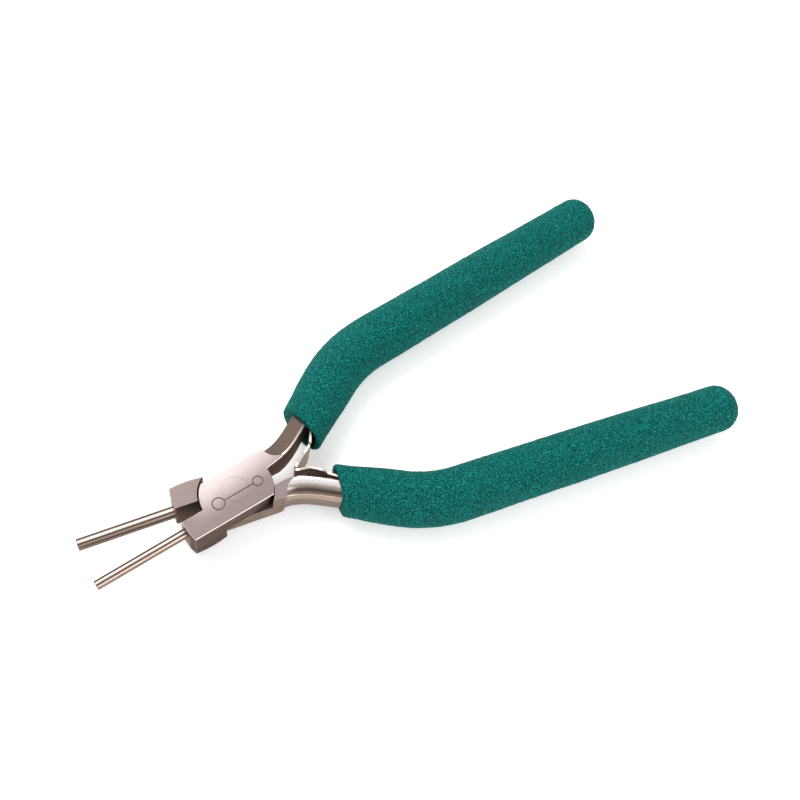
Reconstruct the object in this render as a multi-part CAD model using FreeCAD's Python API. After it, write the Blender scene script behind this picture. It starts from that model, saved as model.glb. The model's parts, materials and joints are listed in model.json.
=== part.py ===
import FreeCAD, Part
import math
import os

# Bail-making (round mandrel) pliers with a ground lap joint, double leaf
# springs and foam sleeves.  Millimetres.  The pivot axis is +Z through the
# origin, z = 0 is the ground back face, +X runs from the pivot to the jaw
# tips, and +Z leaves the front (engraved) face.  Each half is drawn closed
# about the lap plane, with its jaw on the +Y side and its handle on the -Y
# side.  It is then swung to the open rest position and raised by half the
# ground thickness.

V = FreeCAD.Vector

# ---- driving dimensions -------------------------------------------------
REST_HALF_ANGLE = 5.92     # each half stands this far from closed at rest
HEAD_T = 9.0               # ground thickness of the joint and the jaws
LAP_GAP = 0.02             # running gap between the two lapped plates
JAW_ARC_R = 7.0            # convex end of each lapped plate, jaw side
JAW_ARC_X = 1.0            # its centre, forward of the pivot
JAW_ARC_Y = 0.5            # and towards the half's own jaw
HANDLE_ARC_R = 8.1         # convex end of each lapped plate, handle side
JOINT_CLEAR = 0.13         # running gap around those arcs
HEAD_HALF_W = 5.15         # half width of the joint across the pliers
PLATE_HALF_W = 4.9         # half width of the plate on the handle side
JAW_INNER_Y = 0.30         # jaw block's inner face from the closing plane
JAW_FRONT_IN_X = 13.0      # block front face, square round the mandrel's foot
JAW_FOOT_Y = 3.2           # the square part ends here
JAW_FRONT_OUT_X = 12.65    # block front face, at the outer face
JAW_BULGE = 0.35           # outward bow of the block's free outer side
EDGE_BREAK = 0.12          # broken edge on the ground faces
BASE_BREAK = 0.80          # softer edge on the block's free lower side
NOSE_SCOOP = 0.60          # bow of the shoulder's rear end round the tang's nose

MANDREL_TIP_X = 33.7       # mandrel tips from the pivot
MANDREL_BIG_D = 2.6        # on the back half
MANDREL_SMALL_D = 2.1      # on the front half
MANDREL_BIG_Y = 1.37       # mandrel axes from the closing plane
MANDREL_SMALL_Y = 1.28
MANDREL_TIP_BREAK = 0.12   # chamfer at each mandrel tip

RIVET_R = 2.3              # pivot rivet shank
RIVET_HEAD_R = 2.85        # flush countersunk head, each end
RIVET_HEAD_T = 1.0         # depth of the countersink
RIVET_RUN = 0.03           # running clearance in the back half

TANG_H0 = 4.36             # tang half height just behind the flats
TANG_H1 = 4.10             # half height under the grip mouth
TANG_H2 = 3.00             # half height at the buried end
TANG_W0 = 3.85             # tang width behind the flats
TANG_W1 = 3.45             # width under the grip mouth
TANG_W2 = 2.70             # width at the buried end
TANG_BEVEL = 0.34          # bevel along the tang's inner crests
TANG_CROWN = 0.86          # +Z flat falls to this share of the half height
TANG_OFFSET = 1.00         # tang lies this far outward of the sleeve axis
TANG_END = 84.0            # buried end, measured into the sleeve

GRIP_START = (-20.3, -5.65)   # sleeve axis at the mouth
GRIP_HEADING = 28.8        # outward lean of the sleeve at the mouth
GRIP_LEG_1 = 13.9          # first straight leg
GRIP_BEND_R = 28.85        # bend back towards the long axis
GRIP_HEADING_2 = 1.55      # lean of the long leg
GRIP_LEG_2 = 67.4          # long leg, to the closed end
GRIP_R_MOUTH = 5.42
GRIP_R_SWELL = 6.02        # fullest, at the bend
GRIP_R_MID = 5.86
GRIP_R_END = 5.33
GRIP_END_ROUND = 3.9       # rounding of the closed end
MOUTH_LEAN = 19.5          # mouth face is cut this far off square
BACK_MOUTH_SETBACK = 0.7   # back sleeve starts this much further down
POCKET_R = 4.90            # pocket in the sleeve for the spring's root
POCKET_DEPTH = 9.2
POCKET_HALF_W = 3.75       # pocket half width across Z
FRONT_POCKET_RISE = 3.3    # pocket height over the tang's inner face
BACK_POCKET_RISE = 2.4
LIP_ROUND = 0.60

SPRING_T = 0.50            # leaf thickness
SPRING_HALF_W = 4.20       # half width of the leaf across Z
FRONT_ROOT_HALF_W = 2.90   # half width inside the sleeve
BACK_ROOT_HALF_W = 3.40
SPRING_TIP_HALF_W = 2.60   # half width at the tapered tongue
LEAF_ENTRY = 1.60          # full width starts this far in front of the sleeve's start
SPRING_TAB = 1.60          # half length of the riveted tab
SPRING_SEAT = 0.30         # working gap under the tab and under the head
ROOT_FROM_MOUTH = 5.5      # spring rivet, measured into the sleeve
# leaf centre line: distance into the sleeve, height over the tang's inner face
FRONT_LEAF = ((3.9, 0.55), (2.9, 0.68), (2.0, 0.88), (1.0, 1.14), (0.0, 1.50), (-2.2, 2.52),
              (-4.27, 3.12), (-5.86, 3.04), (-7.46, 2.86), (-8.31, 2.77), (-9.25, 2.69))
BACK_LEAF = ((3.9, 0.55), (2.9, 0.68), (2.0, 0.80), (1.0, 0.93), (0.0, 1.07), (-1.3, 1.30),
             (-2.58, 1.50), (-4.13, 1.72), (-5.86, 1.82), (-7.56, 1.67), (-8.89, 1.43))
SPRING_RIVET_R = 1.00
SPRING_RIVET_HEAD_R = 1.70
SPRING_RIVET_HEAD_T = 0.70
SPRING_HOLE_R = 1.18

MARK_DEPTH = 0.10          # engraved size mark on the front face
MARK_LINE = 0.26           # engraved line width


# ---- small helpers ------------------------------------------------------
def poly_face(points, z):
    """Flat face from corner points in the plane at height z."""
    ring = [V(x, y, z) for x, y in points]
    ring.append(ring[0])
    return Part.Face(Part.makePolygon(ring))


def slab(points, z0, z1):
    """Straight prism over a plan polygon."""
    return poly_face(points, z0).extrude(V(0, 0, z1 - z0))


def cyl_z(radius, z0, z1, x=0.0, y=0.0):
    return Part.makeCylinder(radius, z1 - z0, V(x, y, z0), V(0, 0, 1))


def turned_over(shape):
    """Half turn about the X axis: makes the mating half of the pliers."""
    out = shape.copy()
    out.rotate(V(0, 0, 0), V(1, 0, 0), 180)
    return out


def swung(shape, degrees):
    """Turn about the pivot axis."""
    out = shape.copy()
    out.rotate(V(0, 0, 0), V(0, 0, 1), degrees)
    return out


def heading_vector(degrees):
    """Unit vector running down a handle, leaning outward by the angle."""
    a = math.radians(degrees)
    return V(-math.cos(a), -math.sin(a), 0)


def inner_vector(degrees):
    """Unit vector across a handle, towards the other handle."""
    a = math.radians(degrees)
    return V(-math.sin(a), math.cos(a), 0)


def sleeve_axis(s):
    """Point and heading of the sleeve axis at distance s from the mouth."""
    start = V(GRIP_START[0], GRIP_START[1], 0)
    if s <= GRIP_LEG_1:
        return start + heading_vector(GRIP_HEADING) * s, GRIP_HEADING
    turn = math.radians(GRIP_HEADING - GRIP_HEADING_2)
    arc = GRIP_BEND_R * turn
    bend_start = start + heading_vector(GRIP_HEADING) * GRIP_LEG_1
    centre = bend_start + inner_vector(GRIP_HEADING) * GRIP_BEND_R
    t = min(s - GRIP_LEG_1, arc)
    h = GRIP_HEADING - math.degrees(t / GRIP_BEND_R)
    point = centre - inner_vector(h) * GRIP_BEND_R
    if s > GRIP_LEG_1 + arc:
        point = point + heading_vector(h) * (s - GRIP_LEG_1 - arc)
    return point, h


def sleeve_length():
    turn = math.radians(GRIP_HEADING - GRIP_HEADING_2)
    return GRIP_LEG_1 + GRIP_BEND_R * turn + GRIP_LEG_2


def ring_wire(point, heading, radius):
    """Circle square to a heading, its seam always on the same side."""
    circle = Part.makeCircle(radius, V(0, 0, 0), V(1, 0, 0))
    circle.rotate(V(0, 0, 0), V(0, 0, 1), 180 + heading)
    circle.translate(point)
    return Part.Wire([circle])


def blend(a, b, t):
    """Smooth step between two values."""
    t = max(0.0, min(1.0, t))
    return a + (b - a) * t * t * (3.0 - 2.0 * t)


# ---- pivot --------------------------------------------------------------
def rivet_profile(shank_r, head_r, z0, z1):
    """Shank with a countersunk head at each end, both flush."""
    half = HEAD_T / 2
    shank = cyl_z(shank_r, z0, z1)
    top = Part.makeCone(shank_r, head_r, RIVET_HEAD_T, V(0, 0, half - RIVET_HEAD_T), V(0, 0, 1))
    low = Part.makeCone(head_r, shank_r, RIVET_HEAD_T, V(0, 0, -half), V(0, 0, 1))
    return shank.fuse([top, low])


# ---- one half: jaw, mandrel, lapped plate, shoulder and tang -------------
def jaw_plan(bow, inset=0.0):
    """Plan of the jaw block, its free side bowed outward by the given amount."""
    side = HEAD_HALF_W - inset
    pts = [(3.0, JAW_INNER_Y), (JAW_FRONT_IN_X, JAW_INNER_Y), (JAW_FRONT_IN_X, JAW_FOOT_Y),
           (JAW_FRONT_OUT_X, side)]
    steps = 6
    for i in range(1, steps):
        t = i / steps
        x = JAW_FRONT_OUT_X + (4.5 - JAW_FRONT_OUT_X) * t
        pts.append((x, side + bow * math.sin(math.pi * t)))
    pts.append((4.5, side))
    pts.append((3.0, side))
    return pts


def free_block(z0, z1):
    """Lower storey of the jaw block: straight at the lap, bowed towards the
    base, with its lower outer edge eased."""
    rings = []
    for z, bow, inset in ((z0, JAW_BULGE, BASE_BREAK * 0.7),
                          (z0 + BASE_BREAK, JAW_BULGE, 0.0),
                          (z1, 0.0, 0.0)):
        ring = [V(x, y, z) for x, y in jaw_plan(bow, inset)]
        ring.append(ring[0])
        rings.append(Part.makePolygon(ring))
    return Part.makeLoft(rings, True, True)


def shoulder_plan(inner, half_w, corner):
    """Plan of the ground flat between the joint and the tang.  The rear end
    is scooped around the tang's nose, and its outer corner is rounded."""
    pts = list(inner)
    start = V(-12.6, -1.55, 0)
    end = V(-9.6 - 0.15 * corner, -4.95 + 0.8 * corner, 0)
    across = V(0.75, 0.66, 0)
    steps = 6
    for i in range(steps + 1):
        t = i / steps
        point = start + (end - start) * t + across * (NOSE_SCOOP * math.sin(math.pi * t))
        pts.append((point.x, point.y))
    for t in (30, 60):
        a = math.radians(t)
        x = end.x + corner * (1 - math.cos(a)) + 0.1
        pts.append((x, end.y + (-half_w - end.y) * math.sin(a)))
    pts.append((end.x + corner + 0.15, -half_w))
    pts.append((-4.0, -half_w))
    return pts


def lapped_plate(z0, z1):
    """The plate that laps over the mating half: one arc at each end."""
    y0 = -PLATE_HALF_W
    dy = PLATE_HALF_W + HEAD_HALF_W
    front = Part.makeBox(20, dy, z1 - z0, V(0, y0, z0))
    rear = Part.makeBox(20, dy, z1 - z0, V(-20, y0, z0))
    front = cyl_z(JAW_ARC_R, z0, z1, JAW_ARC_X, JAW_ARC_Y).common(front)
    return front.fuse(cyl_z(HANDLE_ARC_R, z0, z1).common(rear))


def mate_clearance(z0, z1):
    """Space the mating half's plate needs: its two arcs and the running gap."""
    front = cyl_z(JAW_ARC_R + JOINT_CLEAR, z0, z1, JAW_ARC_X, -JAW_ARC_Y)
    rear = cyl_z(HANDLE_ARC_R + JOINT_CLEAR, z0, z1)
    right = Part.makeBox(20, 40, z1 - z0, V(0, -20, z0))
    left = Part.makeBox(20, 40, z1 - z0, V(-20, -20, z0))
    return front.common(right).fuse(rear.common(left))


def tang_section(point, heading, width, half_h):
    """Section of the forged tang: tall flat inner side, bevelled crests, a
    plain sloping flat on the +Z side and a round shoulder on the -Z side
    that falls to a half-height flat on the outer side."""
    n = inner_vector(heading)
    a = width / 2
    c = TANG_BEVEL
    crown = half_h * TANG_CROWN
    waist = half_h * 0.50
    soft = 0.30

    def p(u, z):
        return point + n * u + V(0, 0, z)

    edges = [
        Part.makeLine(p(a, -half_h + c), p(a, half_h - c)),
        Part.makeLine(p(a, half_h - c), p(a - c, half_h)),
        Part.makeLine(p(a - c, half_h), p(-a + soft, crown)),
        Part.makeLine(p(-a + soft, crown), p(-a, crown - soft)),
        Part.makeLine(p(-a, crown - soft), p(-a, -waist)),
        Part.Arc(p(-a, -waist), p(-a * 0.42, -half_h * 0.87), p(a - c, -half_h)).toShape(),
        Part.makeLine(p(a - c, -half_h), p(a, -half_h + c)),
    ]
    return Part.Wire(edges)


def tang_solid():
    """Forged tang, from inside the shoulder to its buried end."""
    near = [
        (V(-9.3, -3.23, 0), 4.0, TANG_W0 - 1.10, TANG_H0),
        (V(-12.32, -3.10, 0), 9.0, TANG_W0 - 0.35, TANG_H0),
        (V(-15.25, -4.06, 0), 20.0, 3.55, TANG_H0 - 0.04),
        (V(-18.21, -5.59, 0), 28.5, 3.50, TANG_H0 - 0.12),
    ]
    wires = [tang_section(*row) for row in near]
    for s, off in ((2.0, 1.0), (6.0, 1.0), (10.0, 1.0), (14.0, 0.95), (19.0, 0.6), (24.0, 0.2), (27.8, 0.0)):
        wires.append(buried_section(s, off))
    curved = Part.makeLoft(wires, True, False)
    straight = Part.makeLoft([buried_section(27.8, 0.0), buried_section(TANG_END, 0.0)], True, True)
    return curved.fuse(straight)


def buried_size(s):
    """Width and half height of the tang under the sleeve."""
    k = (s - 2.0) / (TANG_END - 2.0)
    return TANG_W1 + (TANG_W2 - TANG_W1) * k, TANG_H1 + (TANG_H2 - TANG_H1) * k


def buried_section(s, off):
    point, h = sleeve_axis(s)
    width, half_h = buried_size(s)
    return tang_section(point - inner_vector(h) * TANG_OFFSET * off, h, width, half_h)


def root_point():
    """Centre of the spring rivet on the tang's inner face, and the heading there."""
    point, h = sleeve_axis(ROOT_FROM_MOUTH)
    width = buried_size(ROOT_FROM_MOUTH)[0]
    face = point + inner_vector(h) * (width / 2 - TANG_OFFSET)
    return face, h


def break_edges(shape, size, wanted):
    """Chamfer every edge the test accepts."""
    edges = [e for e in shape.Edges if wanted(e)]
    return shape.makeChamfer(size, edges) if edges else shape


def head_solid():
    """Jaw block, lapped plate and shoulder of one half, drawn closed."""
    half = HEAD_T / 2
    gap = LAP_GAP / 2
    # upper storey: the lapped plate with the block and the shoulder on it
    flat = shoulder_plan(((-4.0, -0.45), (-8.2, -0.52), (-12.5, -1.16)), PLATE_HALF_W, 1.0)
    upper = lapped_plate(gap, half).fuse([slab(jaw_plan(0.0), gap, half), slab(flat, gap, half)])

    def face_edges(e):
        b = e.BoundBox
        return b.ZLength < 1e-6 and abs(b.ZMin - half) < 1e-6

    upper = break_edges(upper.removeSplitter(), EDGE_BREAK, face_edges)
    # lower storey: the block and the shoulder stand clear of the mating plate
    flat = shoulder_plan(((-4.0, -1.87), (-8.6, -1.80), (-10.2, -1.50), (-12.4, -1.40)), HEAD_HALF_W, 0.35)
    lower = free_block(-half, gap).fuse(slab(flat, -half, gap))
    lower = lower.cut(mate_clearance(-half - 1, gap))
    return upper.fuse(lower).removeSplitter()


def half_solid(mandrel_d, mandrel_y, rivet_clear):
    """One complete half of the pliers, drawn closed."""
    half = HEAD_T / 2
    body = head_solid().fuse(tang_solid())
    r = mandrel_d / 2
    root_x = JAW_FRONT_IN_X - 0.01
    rod = Part.makeCylinder(r, MANDREL_TIP_X - root_x, V(root_x, mandrel_y, 0), V(1, 0, 0))
    tip_edges = [e for e in rod.Edges if e.BoundBox.XMin > MANDREL_TIP_X - 1e-3 and e.BoundBox.YLength > r]
    rod = rod.makeChamfer(MANDREL_TIP_BREAK, tip_edges)
    body = body.fuse(rod)
    hole = rivet_profile(RIVET_R + rivet_clear, RIVET_HEAD_R + rivet_clear, -half - 1, half + 1)
    return body.cut(hole)


# ---- springs and their rivets --------------------------------------------
def leaf_centre_line(stations):
    """Points of a leaf's centre line from its stations along the sleeve."""
    mouth, h = sleeve_axis(0.0)
    face = mouth + inner_vector(h) * (TANG_W1 / 2 - TANG_OFFSET)
    return [face + heading_vector(h) * s + inner_vector(h) * rise for s, rise in stations]


def leaf_solid(stations, root_half_w):
    """Leaf spring: riveted tab, leg that stands off the tang, and tongue that
    bends in to meet the other leaf near the centre plane."""
    face, h = root_point()
    d = heading_vector(h)
    n = inner_vector(h)
    seat = face + n * (SPRING_SEAT + SPRING_T / 2)
    back = seat + d * SPRING_TAB
    mids = leaf_centre_line(stations)
    mids[0] = seat - d * SPRING_TAB
    curve = Part.BSplineCurve()
    curve.interpolate(mids)
    count = 16
    upper = []
    lower = []
    for i in range(count + 1):
        u = curve.FirstParameter + (curve.LastParameter - curve.FirstParameter) * i / count
        point = curve.value(u)
        tangent = curve.tangent(u)[0]
        side = V(-tangent.y, tangent.x, 0) * (SPRING_T / 2)
        upper.append(point + side)
        lower.append(point - side)
    top = Part.BSplineCurve()
    top.interpolate(upper)
    low = Part.BSplineCurve()
    low.interpolate(lower)
    up_back = back + n * (SPRING_T / 2)
    low_back = back - n * (SPRING_T / 2)
    ring = Part.Wire([
        Part.makeLine(up_back, upper[0]),
        top.toShape(),
        Part.makeLine(upper[-1], lower[-1]),
        low.toShape(),
        Part.makeLine(lower[0], low_back),
        Part.makeLine(low_back, up_back),
    ])
    ring.translate(V(0, 0, -SPRING_HALF_W))
    leaf = Part.Face(ring).extrude(V(0, 0, 2 * SPRING_HALF_W))
    # side view: narrow inside the sleeve, full width outside, tapered tongue
    tip = max(p.x for p in mids) + 0.4
    entry = sleeve_axis(0.0)[0].x + LEAF_ENTRY
    half_widths = ((-60.0, root_half_w), (entry - 0.8, root_half_w), (entry, SPRING_HALF_W),
                   (tip - 3.4, SPRING_HALF_W), (tip - 1.3, SPRING_TIP_HALF_W + 0.2),
                   (tip - 0.5, SPRING_TIP_HALF_W), (tip, SPRING_TIP_HALF_W - 0.6))
    side_view = [V(x, -40, -w) for x, w in half_widths]
    side_view += [V(x, -40, w) for x, w in reversed(half_widths)]
    side_view.append(side_view[0])
    leaf = leaf.common(Part.Face(Part.makePolygon(side_view)).extrude(V(0, 80, 0)))
    hole = Part.makeCylinder(SPRING_HOLE_R, 6, seat - n * 3, n)
    return leaf.cut(hole), seat


def spring_rivet_solid():
    """Rivet through the tang, with its head over the spring's tab."""
    face, h = root_point()
    n = inner_vector(h)
    reach = SPRING_SEAT * 2 + SPRING_T
    depth = TANG_W1 - 0.35
    shank = Part.makeCylinder(SPRING_RIVET_R, depth + reach + 0.1, face - n * depth, n)
    head = Part.makeCylinder(SPRING_RIVET_HEAD_R, SPRING_RIVET_HEAD_T, face + n * reach, n)
    rim = [e for e in head.Edges if e.Closed and (e.CenterOfMass - (face + n * reach)).dot(n) > 0.3]
    head = head.makeFillet(SPRING_RIVET_HEAD_T * 0.6, rim)
    return shank.fuse(head)


def spring_rivet_hole():
    face, h = root_point()
    n = inner_vector(h)
    depth = TANG_W1 - 0.35
    return Part.makeCylinder(SPRING_RIVET_R, depth + 3, face - n * depth, n)


# ---- foam sleeve ----------------------------------------------------------
def sleeve_radius(s):
    """Sleeve radius at distance s from the mouth: fullest round the bend."""
    bend_end = sleeve_length() - GRIP_LEG_2
    if s < GRIP_LEG_1:
        return blend(GRIP_R_MOUTH, GRIP_R_SWELL, s / GRIP_LEG_1)
    if s < bend_end:
        return GRIP_R_SWELL
    if s < bend_end + 24.0:
        return blend(GRIP_R_SWELL, GRIP_R_MID, (s - bend_end) / 24.0)
    return blend(GRIP_R_MID, GRIP_R_END, (s - bend_end - 24.0) / (GRIP_LEG_2 - 24.0))


def turned_leg(s0, s1, rounded_end):
    """One straight leg of the sleeve, turned about its own axis."""
    base, h = sleeve_axis(s0)
    d = heading_vector(h)
    n = inner_vector(h)
    length = s1 - s0

    def at(s, r):
        return base + d * s + n * r

    side_length = length - GRIP_END_ROUND if rounded_end else length
    steps = 7
    side_pts = []
    for i in range(steps + 1):
        s = side_length * i / steps
        side_pts.append(at(s, sleeve_radius(max(s0 + s, 0.0))))
    side = Part.BSplineCurve()
    side.interpolate(side_pts, InitialTangent=d, FinalTangent=d)
    edges = [Part.makeLine(base, side_pts[0]), side.toShape()]
    last = side_pts[-1]
    if rounded_end:
        flat_r = sleeve_radius(s0 + side_length) - GRIP_END_ROUND
        a = math.radians(48)
        knee = at(length - GRIP_END_ROUND * (1 - math.sin(a)), flat_r + GRIP_END_ROUND * math.cos(a))
        edges.append(Part.Arc(last, knee, at(length, flat_r)).toShape())
        last = at(length, flat_r)
    edges.append(Part.makeLine(last, at(length, 0)))
    edges.append(Part.makeLine(at(length, 0), base))
    return Part.Face(Part.Wire(edges)).revolve(base, d, 360)


def sleeve_solid(tang, setback, rise):
    """Closed-end foam sleeve with a pocket at its mouth."""
    total = sleeve_length()
    bend_end = total - GRIP_LEG_2
    bend_start, h0 = sleeve_axis(GRIP_LEG_1)
    centre = bend_start + inner_vector(h0) * GRIP_BEND_R
    disc = Part.Face(ring_wire(bend_start, h0, GRIP_R_SWELL))
    elbow = disc.revolve(centre, V(0, 0, 1), GRIP_HEADING_2 - GRIP_HEADING)
    body = turned_leg(-4.0, GRIP_LEG_1, False).fuse([elbow, turned_leg(bend_end, total, True)])
    body = body.removeSplitter()
    # mouth face, leaning towards the long axis
    mouth, h = sleeve_axis(setback)
    lean = heading_vector(h - MOUTH_LEAN) * -1.0
    cutter = Part.makeCylinder(20, 20, mouth, lean)
    body = body.cut(cutter)
    deep, h = sleeve_axis(POCKET_DEPTH)
    pocket = Part.makeCylinder(POCKET_R, POCKET_DEPTH + 4.0, deep, heading_vector(h) * -1.0)
    # the pocket opens only on the tang's inner side, so the foam hugs the rest
    d = heading_vector(h)
    n = inner_vector(h)
    floor = deep + n * (TANG_W1 / 2 - TANG_OFFSET - 0.3)
    roof = floor + n * (rise + 0.3)
    side = [floor + d * 2, floor - d * 20, roof - d * 20, roof + d * 2]
    pocket = pocket.common(slab([(p.x, p.y) for p in side], -POCKET_HALF_W, POCKET_HALF_W))
    body = body.cut(pocket).cut(tang)

    def mouth_rim(e):
        on_face = abs((e.CenterOfMass - mouth).dot(lean)) < 0.05
        return on_face and e.Length > 2.1 * math.pi * POCKET_R

    rims = [e for e in body.Edges if mouth_rim(e)]
    return body.makeFillet(LIP_ROUND, rims)


# ---- engraved size mark ---------------------------------------------------
def mark_solid():
    """Generic size mark: a large ring and a small ring joined by a line."""
    z0 = HEAD_T / 2 - MARK_DEPTH
    tall = MARK_DEPTH + 1
    w = MARK_LINE / 2

    def ring(x, y, r):
        return cyl_z(r + w, z0, z0 + tall, x, y).cut(cyl_z(r - w, z0 - 1, z0 + tall + 1, x, y))

    big = MANDREL_BIG_D / 2
    small = MANDREL_SMALL_D / 2
    y = 0.9
    x_big = 4.6
    x_small = -4.9
    bar = Part.makeBox(x_big - x_small - big - small, MARK_LINE, tall, V(x_small + small, y - w, z0))
    return Part.makeCompound([ring(x_big, y, big), bar, ring(x_small, y, small)])


# ---- build ------------------------------------------------------------------
def build():
    os.makedirs("parts", exist_ok=True)
    half = HEAD_T / 2
    tang = tang_solid()
    rivet_hole = spring_rivet_hole()
    front = half_solid(MANDREL_SMALL_D, MANDREL_SMALL_Y, 0.0).cut(rivet_hole)
    back = half_solid(MANDREL_BIG_D, MANDREL_BIG_Y, RIVET_RUN).cut(rivet_hole)
    pin = rivet_profile(RIVET_R, RIVET_HEAD_R, -half, half)
    front_leaf, seat = leaf_solid(FRONT_LEAF, FRONT_ROOT_HALF_W)
    back_leaf, seat = leaf_solid(BACK_LEAF, BACK_ROOT_HALF_W)
    stud = spring_rivet_solid()
    mark = mark_solid()
    a = REST_HALF_ANGLE
    nodes = {
        "front_half": swung(front.cut(mark), a),
        "pivot_rivet": swung(pin.cut(mark), a),
        "leaf_spring_front": swung(front_leaf, a),
        "spring_rivet_front": swung(stud, a),
        "grip_front": swung(sleeve_solid(tang, 0.0, FRONT_POCKET_RISE), a),
        "back_half": swung(turned_over(back), -a),
        "leaf_spring_back": swung(turned_over(back_leaf), -a),
        "spring_rivet_back": swung(turned_over(stud), -a),
        "grip_back": swung(turned_over(sleeve_solid(tang, BACK_MOUTH_SETBACK, BACK_POCKET_RISE)), -a),
    }
    for name, shape in nodes.items():
        shape = shape.removeSplitter()
        if len(shape.Solids) == 1:
            shape = shape.Solids[0]
        shape.translate(V(0, 0, half))
        box = shape.BoundBox
        print(name, "solids", len(shape.Solids), "valid", shape.isValid(), "volume %.2f" % shape.Volume,
              "x %.2f..%.2f y %.2f..%.2f" % (box.XMin, box.XMax, box.YMin, box.YMax),
              "z %.2f..%.2f" % (box.ZMin, box.ZMax))
        shape.exportStep("parts/" + name + ".step")
    hinge = swung(Part.Vertex(seat), a).Point
    print("leaf hinge front %.3f %.3f" % (hinge.x, hinge.y))


build()
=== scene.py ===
import json
import math

import bmesh
import bpy
import numpy as np
from mathutils import Matrix, Vector, noise


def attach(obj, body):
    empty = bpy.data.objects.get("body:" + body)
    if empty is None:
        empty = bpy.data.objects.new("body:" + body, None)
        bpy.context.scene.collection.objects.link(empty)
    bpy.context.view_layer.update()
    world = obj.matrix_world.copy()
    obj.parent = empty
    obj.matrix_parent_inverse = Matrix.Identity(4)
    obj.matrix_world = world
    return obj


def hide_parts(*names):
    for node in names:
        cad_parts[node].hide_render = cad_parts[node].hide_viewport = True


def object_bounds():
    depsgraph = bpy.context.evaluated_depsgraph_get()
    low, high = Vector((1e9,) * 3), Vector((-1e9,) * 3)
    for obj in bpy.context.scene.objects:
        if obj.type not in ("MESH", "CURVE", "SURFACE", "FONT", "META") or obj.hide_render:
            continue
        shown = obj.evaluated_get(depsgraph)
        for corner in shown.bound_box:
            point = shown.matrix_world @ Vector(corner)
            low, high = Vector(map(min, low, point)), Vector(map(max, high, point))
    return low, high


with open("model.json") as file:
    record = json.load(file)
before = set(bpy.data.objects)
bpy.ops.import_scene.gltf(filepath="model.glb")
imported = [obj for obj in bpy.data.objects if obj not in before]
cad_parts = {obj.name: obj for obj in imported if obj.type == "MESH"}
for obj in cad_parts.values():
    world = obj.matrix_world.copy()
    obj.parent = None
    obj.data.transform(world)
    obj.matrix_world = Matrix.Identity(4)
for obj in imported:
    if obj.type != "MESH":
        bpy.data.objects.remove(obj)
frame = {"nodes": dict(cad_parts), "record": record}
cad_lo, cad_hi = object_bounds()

MM = 0.001
nodes = frame["nodes"]
record = frame["record"]
scene = bpy.context.scene

# ---- the tool's own sizes, in mm from the pivot ------------------------------
joint_at = {j["name"]: Vector(j["pos_m"]) for j in record["behaviour"]["joints"]}
PIVOT = joint_at["pivot"]
REST = math.radians(5.92)           # each half stands this far from closed at rest
HALF_THICK = 4.5                    # half the thickness across the two ground faces
ROD_ROOT = 12.95                    # the mandrels start here
TANG_ROOT = -9.0                    # the tangs start here
PLATE_END = 7.0                     # no engraving further from the pivot than this

# ---- studio sizes ------------------------------------------------------------
FLOOR_HALF = 3.0                    # m
FLOOR_GAP = 0.0003                  # m below the tool
FLOOR_GLOW = 0.37
SKY_STRENGTH = 0.86
LIGHT_DISTANCE = 0.70               # m
CAMERA_AT = Vector((35.9, 72.3, 200.2))       # mm from the pivot
CAMERA_RIGHT = Vector((-0.8814, 0.4675, 0.0675))
CAMERA_UP = Vector((-0.3998, -0.8144, 0.4208))
CAMERA_BACK = Vector((0.2517, 0.3439, 0.9047))
LENS = 46.07                        # mm, on a 36 mm wide sensor
LENS_SHIFT = (0.1125, 0.05625)

# ---- foam sizes, in mm -------------------------------------------------------
VOXEL = 0.20                        # distance between grain vertices
OVAL = 1.01                         # a sleeve is this much deeper in z than wide
# (cycles per mm, height) of the lumps pushed out of the sleeve's surface
GRAIN = (2.3, 0.07)
PEBBLE = (0.75, 0.04)
SWELL = (0.16, 0.06)


def srgb(r, g, b):
    """Linear colour from 0-255 display values."""
    out = []
    for c in (r, g, b):
        c = c / 255.0
        out.append(c / 12.92 if c <= 0.04045 else ((c + 0.055) / 1.055) ** 2.4)
    return tuple(out) + (1.0,)


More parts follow.
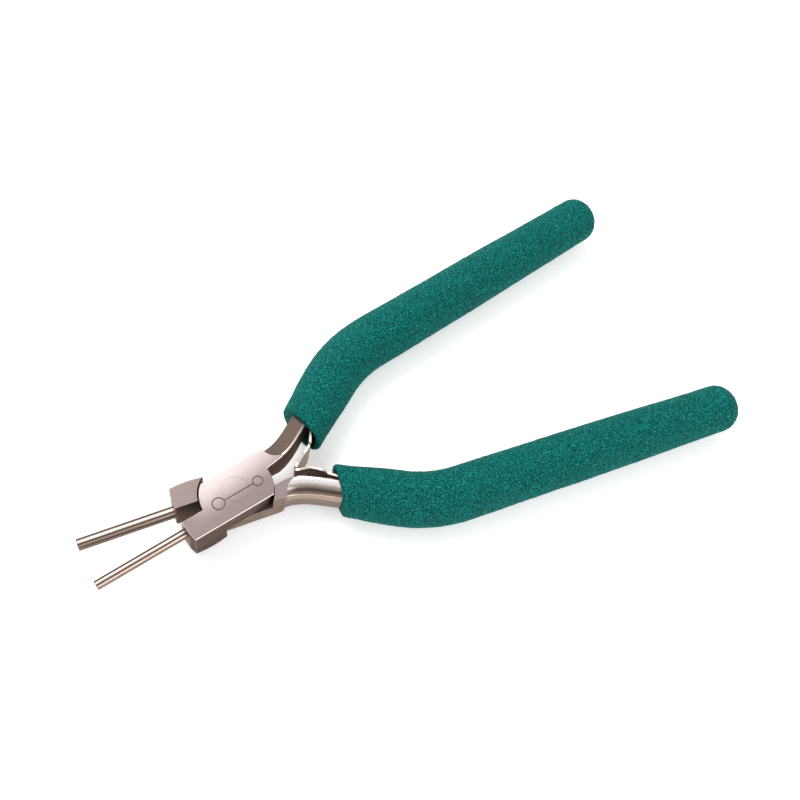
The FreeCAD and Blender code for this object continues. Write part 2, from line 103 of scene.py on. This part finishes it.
# ---- small shader toolkit ----------------------------------------------------
class Tree:
    """Thin wrapper that makes shader nodes and links them."""

    def __init__(self, name):
        self.mat = bpy.data.materials.new(name)
        self.mat.use_nodes = True
        self.nt = self.mat.node_tree
        self.nt.nodes.clear()
        self.out = self.nt.nodes.new("ShaderNodeOutputMaterial")
        self.bsdf = self.nt.nodes.new("ShaderNodeBsdfPrincipled")
        self.link(self.bsdf.outputs[0], self.out.inputs[0])
        self.coord = self.nt.nodes.new("ShaderNodeTexCoord")

    def link(self, a, b):
        self.nt.links.new(a, b)

    def put(self, socket, value):
        """Drive a socket from another one, or give it a plain value."""
        if isinstance(value, bpy.types.NodeSocket):
            self.link(value, socket)
        elif value is not None:
            socket.default_value = value

    def math(self, op, a, b=None, c=None):
        n = self.nt.nodes.new("ShaderNodeMath")
        n.operation = op
        for i, v in enumerate((a, b, c)):
            self.put(n.inputs[i], v)
        return n.outputs[0]

    def times(self, *factors):
        """Product of any number of values."""
        total = factors[0]
        for f in factors[1:]:
            total = self.math("MULTIPLY", total, f)
        return total

    def step(self, value, lo, hi):
        """0 at lo, 1 at hi, smooth between; lo may be the larger."""
        n = self.nt.nodes.new("ShaderNodeMapRange")
        n.interpolation_type = "SMOOTHSTEP"
        self.put(n.inputs["Value"], value)
        n.inputs["From Min"].default_value = lo
        n.inputs["From Max"].default_value = hi
        return n.outputs[0]

    def mix(self, f, a, b):
        """Colour a, or b where f is 1."""
        n = self.nt.nodes.new("ShaderNodeMix")
        n.data_type = "RGBA"
        self.put(n.inputs[0], f)
        self.put(n.inputs[6], a)
        self.put(n.inputs[7], b)
        return n.outputs[2]

    def mixf(self, f, a, b):
        """Number a, or b where f is 1."""
        n = self.nt.nodes.new("ShaderNodeMix")
        n.data_type = "FLOAT"
        self.put(n.inputs[0], f)
        self.put(n.inputs[2], a)
        self.put(n.inputs[3], b)
        return n.outputs[0]

    def noise(self, scale, detail=3.0, rough=0.55, vector=None):
        n = self.nt.nodes.new("ShaderNodeTexNoise")
        n.inputs["Scale"].default_value = scale
        n.inputs["Detail"].default_value = detail
        n.inputs["Roughness"].default_value = rough
        self.link(vector or self.coord.outputs["Object"], n.inputs["Vector"])
        return n.outputs[0]

    def voronoi(self, scale):
        n = self.nt.nodes.new("ShaderNodeTexVoronoi")
        n.inputs["Scale"].default_value = scale
        self.link(self.coord.outputs["Object"], n.inputs["Vector"])
        return n.outputs[0]

    def mapped(self, rot_z, scale=(1, 1, 1), source="Object"):
        """Position (or normal) turned about the pivot axis, then stretched."""
        n = self.nt.nodes.new("ShaderNodeMapping")
        n.inputs["Rotation"].default_value = (0, 0, rot_z)
        n.inputs["Scale"].default_value = scale
        self.link(self.coord.outputs[source], n.inputs["Vector"])
        return n.outputs[0]

    def split(self, vector):
        n = self.nt.nodes.new("ShaderNodeSeparateXYZ")
        self.link(vector, n.inputs[0])
        return n.outputs

    def ramp(self, value, stops):
        n = self.nt.nodes.new("ShaderNodeValToRGB")
        fill_ramp(n.color_ramp, stops)
        self.put(n.inputs[0], value)
        return n.outputs[0]

    def bump(self, height, strength, distance, normal=None):
        n = self.nt.nodes.new("ShaderNodeBump")
        n.inputs["Strength"].default_value = strength
        n.inputs["Distance"].default_value = distance
        self.put(n.inputs["Height"], height)
        if normal is not None:
            self.link(normal, n.inputs["Normal"])
        return n.outputs[0]

    def soft_edge(self, radius):
        """Normal that rolls over the corners."""
        n = self.nt.nodes.new("ShaderNodeBevel")
        n.samples = 6
        n.inputs["Radius"].default_value = radius
        return n.outputs[0]

    def corner_mask(self, radius):
        """1 where the surface turns a corner within the radius, 0 on flats."""
        geo = self.nt.nodes.new("ShaderNodeNewGeometry")
        dot = self.nt.nodes.new("ShaderNodeVectorMath")
        dot.operation = "DOT_PRODUCT"
        self.link(self.soft_edge(radius), dot.inputs[0])
        self.link(geo.outputs["Normal"], dot.inputs[1])
        return self.step(dot.outputs["Value"], 0.99, 0.90)

    def done(self, base, rough, metal, normal=None, **more):
        self.put(self.bsdf.inputs["Base Color"], base)
        self.put(self.bsdf.inputs["Roughness"], rough)
        self.put(self.bsdf.inputs["Metallic"], metal)
        if normal is not None:
            self.link(normal, self.bsdf.inputs["Normal"])
        for key, value in more.items():
            self.put(self.bsdf.inputs[key.replace("_", " ")], value)
        return self.mat


def fill_ramp(color_ramp, stops):
    """Replace a colour ramp's stops with (position, colour) pairs."""
    e = color_ramp.elements
    while len(e) > 1:
        e.remove(e[-1])
    e[0].position, e[0].color = stops[0]
    for pos, col in stops[1:]:
        item = e.new(pos)
        item.color = col


# ---- steel colours -----------------------------------------------------------
# The two halves are one steel; these are lit and shaded copies of it, holding painted light
# and painted shade for faces and sides.
FRONT_PAINTED_LIGHT_SHADE = {"face_painted_shade": srgb(118, 106, 105), "face_painted_light": srgb(186, 176, 175),
              "side_shade_dark": srgb(70, 59, 54), "side_shade_light": srgb(102, 88, 81)}
BACK_PAINTED_LIGHT_SHADE = {"face_painted_shade": srgb(117, 105, 103), "face_painted_light": srgb(122, 111, 112),
             "side_shade_dark": srgb(116, 102, 94), "side_shade_light": srgb(158, 140, 129)}
FACE_CLOUD = srgb(128, 117, 115)
FACE_GRAIN = srgb(124, 113, 111)
GROOVE_DARK = srgb(104, 86, 76)
NOSE_END_SHADE = srgb(54, 42, 36)         # painted shade on ends that face along the mandrels
INSIDE_JAW_SHADE = srgb(98, 80, 71)
ARRIS_HIGHLIGHT = srgb(238, 226, 220)
CORNER_HIGHLIGHT = srgb(232, 218, 210)
TANG_CREST_HIGHLIGHT = srgb(255, 241, 230)
TANG_INNER_SHADE = srgb(128, 109, 99)
TANG_SCALE = srgb(84, 72, 66)
ROD_BAND = srgb(128, 112, 104)
CUT_EDGE_HIGHLIGHT = srgb(226, 212, 204)
EDGE_TINT = (0.74, 0.67, 0.64, 1)   # keeps glancing reflections warm and dim

# polished rod, painted reflection bands by facing: 0 faces -Y in the half's own frame, 1
# faces +Y
ROD_REFLECTION = [(0.00, srgb(74, 62, 58)), (0.26, srgb(80, 68, 64)),
             (0.33, srgb(116, 102, 97)), (0.42, srgb(150, 136, 130)),
             (0.50, srgb(206, 192, 184)), (0.57, srgb(196, 180, 172)),
             (0.63, srgb(92, 76, 68)), (0.69, srgb(92, 76, 68)),
             (0.76, srgb(186, 168, 156)), (0.85, srgb(160, 142, 130)),
             (0.93, srgb(122, 106, 96)), (1.00, srgb(112, 97, 88))]
# tang sides, painted light and shade by facing, with painted reflection bands on the round
# back: 0 faces sideways, 1 faces straight up or down
TANG_FLAT_SHADING = [(0.00, srgb(150, 134, 124)), (0.60, srgb(110, 98, 90)),
             (0.85, srgb(80, 69, 63)), (1.00, srgb(80, 69, 63))]
TANG_ROUND_REFLECTION = [(0.00, srgb(184, 165, 152)), (0.20, srgb(150, 132, 122)),
              (0.30, srgb(220, 204, 194)), (0.38, srgb(98, 84, 76)),
              (0.72, srgb(118, 104, 98)), (0.90, srgb(180, 168, 163)),
              (0.975, srgb(244, 239, 237)), (1.00, srgb(244, 239, 237))]


# ---- steel -------------------------------------------------------------------
class Half:
    """Masks over one half, in the frame it has when the tool is closed.

    `turn` undoes the rest opening and `flip` is -1 for the half that is
    turned over.  Every attribute is a shader socket.
    """

    def __init__(self, t, turn, flip):
        self.x, y, z = t.split(t.mapped(turn))
        up = t.math("SUBTRACT", z, PIVOT.z)
        self.up_abs = t.math("ABSOLUTE", up)
        self.y = t.math("MULTIPLY", y, flip)              # towards its own jaw
        self.nx, self.ny, nz = t.split(t.mapped(turn, source="Normal"))
        self.nz_abs = t.math("ABSOLUTE", nz)
        self.inward = t.math("MULTIPLY", self.ny, flip)   # 1 towards the other handle
        # 1 on the side where the tang is a plain flat; it is round on the other
        self.plain = t.step(t.math("MULTIPLY", up, flip), -0.3 * MM, 0.3 * MM)
        self.ground = t.step(self.up_abs, (HALF_THICK - 0.10) * MM, (HALF_THICK - 0.03) * MM)
        self.rod = t.step(self.x, ROD_ROOT * MM, (ROD_ROOT + 0.15) * MM)
        self.tang = t.times(t.step(self.x, TANG_ROOT * MM, (TANG_ROOT - 0.4) * MM),
                            t.math("SUBTRACT", 1.0, self.ground))


def ground_face(t, h, look, cloud, fine):
    """Warm satin grey, with painted light on the side away from the jaw and painted shade
    towards the nose and the jaw's own side.
    """
    across = t.math("MULTIPLY_ADD", h.x, -0.10, h.y)
    # painted light: 1 on the lit part of the face, 0 where painted shade falls towards the
    # nose and the jaw's own side
    light = t.times(t.step(across, 3.0 * MM, -4.6 * MM), t.step(h.x, 12.5 * MM, 5.5 * MM))
    face = t.mix(light, look["face_painted_shade"], look["face_painted_light"])
    face = t.mix(t.times(cloud, 0.30), face, FACE_CLOUD)
    face = t.mix(t.times(t.step(fine, 0.45, 0.75), 0.30), face, FACE_GRAIN)
    # engraved lines sit just below the flat and are coloured darker
    groove = t.times(t.step(h.up_abs, (HALF_THICK - 0.04) * MM, (HALF_THICK - 0.08) * MM),
                     t.step(h.up_abs, (HALF_THICK - 0.16) * MM, (HALF_THICK - 0.12) * MM),
                     t.step(h.nz_abs, 0.75, 0.95),
                     t.step(h.x, -8.0 * MM, -7.5 * MM))
    return t.mix(groove, face, GROOVE_DARK)


def ground_side(t, h, look, turn):
    """Milled sides, streaked along the tool, in darker colours that are painted shade,
    darkest inside the jaws where more painted shade is put.
    """
    streaks = t.noise(1400.0, 4.0, 0.6, t.mapped(turn, scale=(0.12, 1.0, 1.0)))
    # the side colours are painted shade, streaked along the tool
    side = t.mix(t.step(streaks, 0.25, 0.75), look["side_shade_dark"], look["side_shade_light"])
    # painted shade on ends that face along the mandrels
    side = t.mix(t.times(t.step(h.nx, 0.6, 0.9), 0.8), side, NOSE_END_SHADE)
    # painted shade inside the jaws, between the blocks
    inside = t.times(t.step(h.y, 1.6 * MM, 0.6 * MM), t.step(h.x, 4.5 * MM, 6.0 * MM))
    return t.mix(t.times(inside, 0.8), side, INSIDE_JAW_SHADE)


def forged_tang(t, h, brushed, inner):
    """Drop forged bar: a flat with a painted highlight on its arris, or a round back with
    painted reflection bands.
    """
    # painted light and shade by facing on the flat side, painted reflection bands on the
    # round side
    forged = t.mix(h.plain, t.ramp(h.nz_abs, TANG_ROUND_REFLECTION), t.ramp(h.nz_abs, TANG_FLAT_SHADING))
    # painted highlight along the tang's inner crest
    crest = t.times(t.step(h.nz_abs, 0.40, 0.60), t.step(h.nz_abs, 0.94, 0.82),
                    t.step(h.inward, 0.25, 0.45))
    forged = t.mix(crest, forged, TANG_CREST_HIGHLIGHT)
    # painted shade on the inner face, which faces down and away from the light
    forged = t.mix(inner, forged, TANG_INNER_SHADE)
    return t.mix(t.times(t.step(brushed, 0.45, 0.8), 0.12), forged, TANG_SCALE)


def turned_rod(t, h, turn):
    """Polished mandrel with painted reflection bands by facing, broken by darker streaks
    along its length.
    """
    band = t.noise(260.0, 4.0, 0.6, t.mapped(turn, scale=(0.05, 3.0, 3.0)))
    # painted reflection bands by which way the surface faces
    rod = t.ramp(t.math("MULTIPLY_ADD", h.ny, 0.5, 0.5), ROD_REFLECTION)
    return t.mix(t.times(t.step(band, 0.35, 0.65), 0.35), rod, ROD_BAND)


def half_material(name, turn, flip, look):
    """Steel of one half: satin ground faces, sides darkened by painted shade,
    forged tang and polished mandrel, with painted highlights and reflections."""
    t = Tree(name)
    h = Half(t, turn, flip)
    brushed = t.noise(900.0, 5.0, 0.62)
    cloud = t.noise(110.0, 3.0, 0.5)
    fine = t.noise(5200.0, 2.0, 0.6)
    inner = t.times(t.step(h.nz_abs, 0.45, 0.30), t.step(h.inward, 0.3, 0.6))

    # sides take darker colours as painted shade; faces keep the ground face colours
    body = t.mix(t.step(h.nz_abs, 0.92, 0.98), ground_side(t, h, look, turn),
                 ground_face(t, h, look, cloud, fine))
    # painted highlight on the broken edges
    edge = t.times(t.step(h.nz_abs, 0.35, 0.60), t.step(h.nz_abs, 0.93, 0.80), h.plain)
    body = t.mix(t.times(edge, 0.85), body, ARRIS_HIGHLIGHT)
    # painted highlight on the corners, kept away from the engraved mark
    away = t.step(t.math("ABSOLUTE", h.x), PLATE_END * MM, (PLATE_END + 0.6) * MM)
    body = t.mix(t.times(t.corner_mask(0.12 * MM), away, 0.55), body, CORNER_HIGHLIGHT)
    base = t.mix(h.tang, body, forged_tang(t, h, brushed, inner))
    base = t.mix(h.rod, base, turned_rod(t, h, turn))

    rough = t.mixf(cloud, 0.36, 0.46)
    rough = t.mixf(h.tang, rough, t.mixf(h.plain, 0.24, 0.50))
    rough = t.mixf(t.times(h.tang, inner), rough, 0.66)
    rough = t.mixf(h.rod, rough, 0.22)
    grain = t.bump(fine, 0.12, 0.04 * MM, t.soft_edge(0.10 * MM))
    lumps = t.bump(brushed, 0.06, 0.10 * MM, grain)
    return t.done(base, rough, 1.0, lumps, Specular_Tint=EDGE_TINT)


def plain_steel(name, light, dark, rough, edge_highlight_amount):
    """Rolled steel; cut edges, which face along Z, can carry a painted highlight."""
    t = Tree(name)
    n = t.noise(700.0, 4.0, 0.6)
    fine = t.noise(4800.0, 2.0, 0.6)
    base = t.mix(t.step(n, 0.35, 0.7), dark, light)
    nz_abs = t.math("ABSOLUTE", t.split(t.coord.outputs["Normal"])[2])
    # painted highlight on the cut edges, which face up or down
    base = t.mix(t.times(t.step(nz_abs, 0.6, 0.85), edge_highlight_amount), base, CUT_EDGE_HIGHLIGHT)
    normal = t.bump(fine, 0.10, 0.04 * MM, t.soft_edge(0.10 * MM))
    return t.done(base, t.mixf(n, rough - 0.05, rough + 0.08), 0.9, normal)


def clothe(material, *names):
    for name in names:
        materials = nodes[name].data.materials
        materials.clear()
        materials.append(material)


clothe(half_material("front_steel", -REST, 1.0, FRONT_PAINTED_LIGHT_SHADE), "front_half")
clothe(half_material("back_steel", REST, -1.0, BACK_PAINTED_LIGHT_SHADE), "back_half")
clothe(half_material("rivet_steel", -REST, 1.0, FRONT_PAINTED_LIGHT_SHADE), "pivot_rivet")
clothe(plain_steel("spring_steel", srgb(172, 150, 134), srgb(142, 122, 107), 0.46, 1.0),
       "leaf_spring_front", "leaf_spring_back")
clothe(plain_steel("stud_steel", srgb(170, 160, 154), srgb(132, 120, 112), 0.32, 0.0),
       "spring_rivet_front", "spring_rivet_back")


# ---- foam --------------------------------------------------------------------
def foam_material():
    """Dull green closed cell foam: pebbled grain, open pores, a little grime."""
    t = Tree("foam_skin")
    grain = t.noise(4200.0, 2.0, 0.6)
    coarse = t.noise(1700.0, 3.0, 0.6)
    pores = t.voronoi(4200.0)
    patch = t.noise(60.0, 3.0, 0.5)
    dark = srgb(0, 32, 31)
    mid = srgb(0, 91, 86)
    light = srgb(42, 168, 161)
    base = t.ramp(grain, [(0.36, dark), (0.46, mid), (0.56, mid), (0.66, light)])
    base = t.mix(t.times(t.step(coarse, 0.50, 0.68), 0.28), base, dark)
    base = t.mix(t.times(t.step(pores, 0.25, 0.08), 0.55), base, srgb(0, 40, 38))
    base = t.mix(t.times(t.step(patch, 0.62, 0.74), 0.30), base, srgb(34, 74, 66))
    height = t.math("ADD", grain, t.times(pores, 0.6))
    normal = t.bump(height, 0.8, 0.22 * MM)
    return t.done(base, 0.80, 0.0, normal, Specular_IOR_Level=0.10)


def even_skin(mesh, name):
    """The closed shape in mm, rebuilt with evenly spaced vertices."""
    o = bpy.data.objects.new(name, mesh)
    scene.collection.objects.link(o)
    mod = o.modifiers.new("remesh", "REMESH")
    mod.mode = "VOXEL"
    mod.voxel_size = VOXEL
    bpy.context.view_layer.update()
    evaluated = o.evaluated_get(bpy.context.evaluated_depsgraph_get())
    o.data = bpy.data.meshes.new_from_object(evaluated)
    o.modifiers.clear()
    return o


def lump_height(v):
    """How far the skin stands out of the smooth sleeve at v, in mm."""
    shifted = v * PEBBLE[0] + Vector((9.0, 4.0, 1.0))
    return (GRAIN[1] * noise.noise(v * GRAIN[0])
            + PEBBLE[1] * noise.noise(shifted)
            + SWELL[1] * noise.noise(v * SWELL[0]))


def read_vectors(mesh, key):
    flat = np.empty(len(mesh.vertices) * 3)
    mesh.vertices.foreach_get(key, flat)
    return flat.reshape(-1, 3)


def foam_sleeve(name, node, body):
    """Grained skin for one sleeve, grown from the sleeve's own closed shape."""
    bm = bmesh.new()
    bm.from_mesh(nodes[node].data)
    bmesh.ops.remove_doubles(bm, verts=bm.verts, dist=1e-6)
    bm.transform(Matrix.Translation(-PIVOT))
    bm.transform(Matrix.Diagonal((1 / MM, 1 / MM, OVAL / MM, 1.0)))
    closed = bpy.data.meshes.new(name)
    bm.to_mesh(closed)
    bm.free()

    o = even_skin(closed, name)
    points = read_vectors(o.data, "co")
    normals = read_vectors(o.data, "normal")
    push = np.array([lump_height(Vector(p)) for p in points])
    points = (points + normals * push[:, None]) * MM + np.array(PIVOT)
    o.data.vertices.foreach_set("co", points.ravel())
    o.data.update()
    for p in o.data.polygons:
        p.use_smooth = True
    o.data.materials.clear()
    o.data.materials.append(foam)
    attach(o, body)
    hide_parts(node)


foam = foam_material()
foam_sleeve("foam_sleeve_front", "grip_front", "front_body")
foam_sleeve("foam_sleeve_back", "grip_back", "back_body")


# ---- studio ------------------------------------------------------------------
def floor():
    """Matt white paper that glows a little: painted light that lifts the shadows and the
    undersides.
    """
    s = FLOOR_HALF
    z = cad_lo.z - FLOOR_GAP
    me = bpy.data.meshes.new("floor")
    me.from_pydata([(-s, -s, z), (s, -s, z), (s, s, z), (-s, s, z)], [], [(0, 1, 2, 3)])
    o = bpy.data.objects.new("floor", me)
    scene.collection.objects.link(o)
    t = Tree("floor_paper")
    paper = t.mix(t.noise(12.0, 3.0, 0.5), (0.90, 0.90, 0.90, 1), (0.93, 0.93, 0.93, 1))
    me.materials.append(t.done(paper, 0.85, 0.0, Specular_IOR_Level=0.1,
                               Emission_Color=(1, 1, 1, 1), Emission_Strength=FLOOR_GLOW))


def sky():
    """Soft white above, fading to grey below, for the steel to reflect."""
    world = bpy.data.worlds.new("studio")
    scene.world = world
    world.use_nodes = True
    tree = world.node_tree
    tree.nodes.clear()
    out = tree.nodes.new("ShaderNodeOutputWorld")
    back = tree.nodes.new("ShaderNodeBackground")
    coord = tree.nodes.new("ShaderNodeTexCoord")
    split = tree.nodes.new("ShaderNodeSeparateXYZ")
    ramp = tree.nodes.new("ShaderNodeValToRGB")
    tree.links.new(coord.outputs["Generated"], split.inputs[0])
    tree.links.new(split.outputs[2], ramp.inputs[0])
    tree.links.new(ramp.outputs[0], back.inputs[0])
    tree.links.new(back.outputs[0], out.inputs[0])
    fill_ramp(ramp.color_ramp, [(0.00, (0.40, 0.38, 0.37, 1)),
                                (0.35, (0.55, 0.53, 0.52, 1)),
                                (0.80, (0.98, 0.97, 0.965, 1)),
                                (1.00, (1.0, 0.99, 0.985, 1))])
    back.inputs[1].default_value = SKY_STRENGTH


def area(name, direction, size, power, colour):
    """Square soft box that looks at the middle of the tool."""
    data = bpy.data.lights.new(name, "AREA")
    data.shape = "SQUARE"
    data.size = size
    data.energy = power
    data.color = colour
    o = bpy.data.objects.new(name, data)
    scene.collection.objects.link(o)
    d = direction.normalized()
    o.location = (cad_lo + cad_hi) / 2 + d * LIGHT_DISTANCE
    o.rotation_mode = "QUATERNION"
    o.rotation_quaternion = d.to_track_quat("Z", "Y")


def camera():
    data = bpy.data.cameras.new("camera")
    data.lens = LENS
    data.sensor_width = 36.0
    data.shift_x, data.shift_y = LENS_SHIFT
    data.clip_start = 0.01
    data.clip_end = 20.0
    o = bpy.data.objects.new("camera", data)
    scene.collection.objects.link(o)
    axes = Matrix((CAMERA_RIGHT, CAMERA_UP, CAMERA_BACK)).transposed()
    o.matrix_world = Matrix.Translation(PIVOT + CAMERA_AT * MM) @ axes.to_4x4()
    scene.camera = o


floor()
sky()
area("key", CAMERA_UP * 0.95 + CAMERA_BACK * 0.55 - CAMERA_RIGHT * 0.45,
     0.60, 4.9, (1.0, 0.985, 0.97))
area("fill", -CAMERA_UP * 0.45 + CAMERA_BACK * 0.65 + CAMERA_RIGHT * 0.8,
     0.50, 2.2, (0.97, 0.98, 1.0))
camera()
scene.view_settings.view_transform = "Standard"
scene.view_settings.look = "None"
